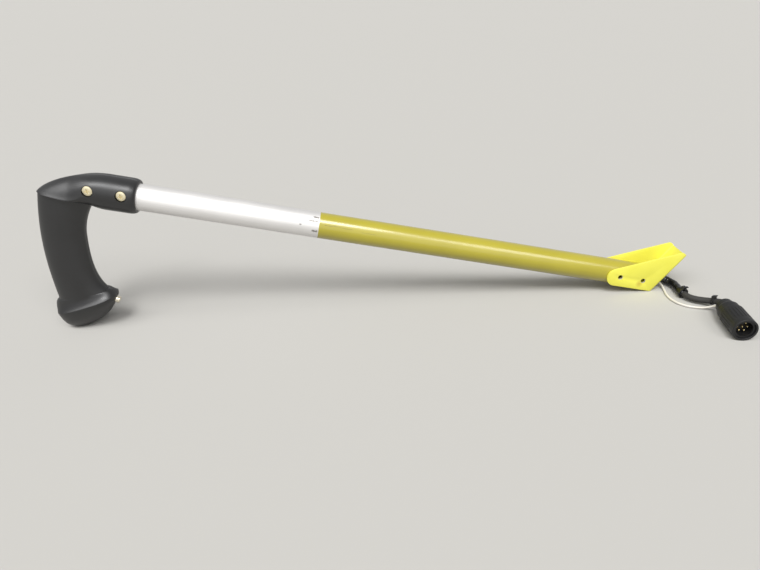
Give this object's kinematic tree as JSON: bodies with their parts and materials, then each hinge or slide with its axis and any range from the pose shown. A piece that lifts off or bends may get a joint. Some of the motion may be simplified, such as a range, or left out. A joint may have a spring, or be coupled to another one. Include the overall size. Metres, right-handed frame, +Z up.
{
  "type": "aircraft control stick",
  "caption": "Control stick with a moulded clamshell grip and push button on a round tube, a folded foot bracket with bolt holes, and a short cable that ends in a round multi-pin plug.",
  "frame": {"origin": "on the floor under the middle of the stick, leaving out the pigtail and its plug", "axes": "+X from the grip to the foot bracket, +Y away from the side with the screw heads, +Z up as the stick stands on its pommel and the two heels of the bracket"},
  "size_m": [0.6653, 0.1313, 0.1589],
  "materials": {
    "grip_plastic": "satin moulded, fine grain",
    "grip_screw_metal": "plated, dulled",
    "insert_brass": "knurled and pressed in",
    "tube_metal": "satin bare stretch; the rest has yellow primer",
    "bush_plastic": "moulded",
    "bracket_paint": "yellow primer, satin",
    "grommet_rubber": "moulded",
    "button_metal": "turned and plated",
    "switch_metal": "turned",
    "switch_plastic": "moulded",
    "spring_steel": "drawn wire",
    "contact_brass": "gold flash",
    "wire_white": "extruded insulation",
    "cable_black": "braided cover",
    "sleeve_black": "shrunk on",
    "tie_plastic": "moulded nylon",
    "plug_shell": "black anodised, matt",
    "insert_plastic": "moulded"
  },
  "bodies": {
    "stick": {"grip_near_half": "grip_plastic", "grip_far_half": "grip_plastic", "grip_screws": "grip_screw_metal", "thread_inserts": "insert_brass", "tube": "tube_metal", "tube_end_bush": "bush_plastic", "foot_bracket": "bracket_paint", "bracket_welds": "bracket_paint", "web_grommet": "grommet_rubber", "switch_bushing": "switch_metal", "switch_body": "switch_plastic", "return_spring": "spring_steel", "switch_terminals": "contact_brass", "switch_leads": "wire_white", "tube_harness": "cable_black", "pigtail_sleeve": "sleeve_black", "pigtail_cable": "cable_black", "pigtail_white_wire": "wire_white", "cable_ties": "tie_plastic", "end_bell": "plug_shell", "cable_bush": "grommet_rubber", "plug_leads": "wire_white", "plug_body": "plug_shell", "plug_insert": "insert_plastic", "plug_contacts": "contact_brass"},
    "button": {"button_plunger": "button_metal"},
    "coupling": {"coupling_ring": "plug_shell"}
  },
  "joints": [
    {"name": "button_press", "type": "slide", "parent": "stick", "child": "button", "axis": [-0.8507, 0, 0.5256], "range_m": [0, 0.0018], "stiffness_N_per_m": 900, "springref_m": -0.002},
    {"name": "coupling_turn", "type": "hinge", "parent": "stick", "child": "coupling", "pos_m": [0.33522, -0.068, 0.011], "axis": [-0.1392, -0.9903, 0], "continuous": true}
  ]
}
